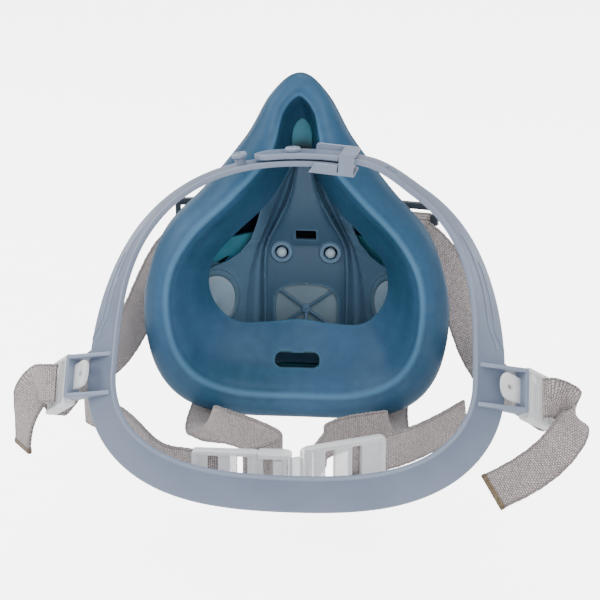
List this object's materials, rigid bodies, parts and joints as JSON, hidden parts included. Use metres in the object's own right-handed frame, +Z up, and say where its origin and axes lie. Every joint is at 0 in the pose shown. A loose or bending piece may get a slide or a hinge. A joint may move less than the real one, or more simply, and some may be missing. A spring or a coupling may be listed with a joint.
{
  "type": "half-mask respirator",
  "caption": "Elastomeric half-mask respirator with face seal, bayonet ports, valves, front cover, head cradle, webbing straps and neck clasps.",
  "frame": {"origin": "on the flat foot under the exhalation cover", "axes": "+Z up, +Y the way the wearer looks, +X to the wearer's right, so the face opening looks along -Y"},
  "size_m": [0.2226, 0.1723, 0.1422],
  "materials": {
    "shell_slate": "satin",
    "webbing_grey": "woven",
    "clear_plastic": "translucent",
    "stud_steel": "polished",
    "band_grey": "satin",
    "valve_silicone": "satin",
    "silicone_blue": "satin",
    "gasket_black": "matte"
  },
  "bodies": {
    "facepiece": {"face_seal": "silicone_blue", "center_adapter": "shell_slate", "cover_stud_left": "stud_steel", "cover_stud_right": "stud_steel", "bayonet_port_left": "shell_slate", "bayonet_port_right": "shell_slate", "port_gasket_left": "gasket_black", "port_gasket_right": "gasket_black", "harness_yoke": "shell_slate", "chin_strap_left": "webbing_grey", "chin_strap_right": "webbing_grey"},
    "exhalation_valve": {"exhalation_flap": "valve_silicone"},
    "inhalation_valve_left": {"inhalation_flap_left": "valve_silicone"},
    "inhalation_valve_right": {"inhalation_flap_right": "valve_silicone"},
    "cover": {"front_cover": "shell_slate"},
    "cradle": {"head_cradle": "band_grey", "crown_guide": "band_grey", "upper_strap_left": "webbing_grey", "upper_strap_right": "webbing_grey"},
    "tongue": {"crown_tongue": "band_grey"},
    "buckle_left": {"side_buckle_left": "clear_plastic", "strap_tail_left": "webbing_grey"},
    "buckle_right": {"side_buckle_right": "clear_plastic", "strap_tail_right": "webbing_grey"},
    "neck_straps": {"neck_strap_left": "webbing_grey", "neck_strap_right": "webbing_grey", "clasp_left": "clear_plastic", "neck_tail_left": "webbing_grey"},
    "clasp_half_right": {"clasp_right": "clear_plastic", "neck_tail_right": "webbing_grey"}
  },
  "joints": [
    {"name": "exhalation_lift", "type": "slide", "parent": "facepiece", "child": "exhalation_valve", "axis": [0, 1, 0], "range_m": [0, 0.0012]},
    {"name": "inhalation_lift_left", "type": "slide", "parent": "facepiece", "child": "inhalation_valve_left", "axis": [0.6691, -0.7431, 0], "range_m": [0, 0.0012]},
    {"name": "inhalation_lift_right", "type": "slide", "parent": "facepiece", "child": "inhalation_valve_right", "axis": [-0.6691, -0.7431, 0], "range_m": [0, 0.0012]},
    {"name": "cover_pull", "type": "slide", "parent": "facepiece", "child": "cover", "axis": [0, 1, 0], "range_m": [0, 0.03]},
    {"name": "cradle_swing", "type": "hinge", "parent": "facepiece", "child": "cradle", "pos_m": [0, -0.013, 0.077], "axis": [-1, 0, 0], "range_deg": [0, 18]},
    {"name": "tongue_peel", "type": "hinge", "parent": "cradle", "child": "tongue", "pos_m": [0.01851, -0.08116, 0.11821], "axis": [0.0619, 0.9974, -0.0377], "range_deg": [0, 25]},
    {"name": "buckle_turn_left", "type": "hinge", "parent": "cradle", "child": "buckle_left", "pos_m": [-0.07807, -0.12521, 0.04052], "axis": [-0.0002, 0.5592, 0.829], "range_deg": [0, 18]},
    {"name": "buckle_turn_right", "type": "hinge", "parent": "cradle", "child": "buckle_right", "pos_m": [0.08807, -0.12521, 0.04052], "axis": [-0.0002, -0.5592, -0.829], "range_deg": [0, 18]},
    {"name": "neck_strap_swing", "type": "hinge", "parent": "facepiece", "child": "neck_straps", "pos_m": [0, -0.0745, 0.0017], "axis": [1, 0, 0], "range_deg": [0, 35]},
    {"name": "clasp_turn", "type": "hinge", "parent": "neck_straps", "child": "clasp_half_right", "pos_m": [0.0015, -0.137, 0.0095], "axis": [0, 0, -1], "range_deg": [0, 12]}
  ]
}
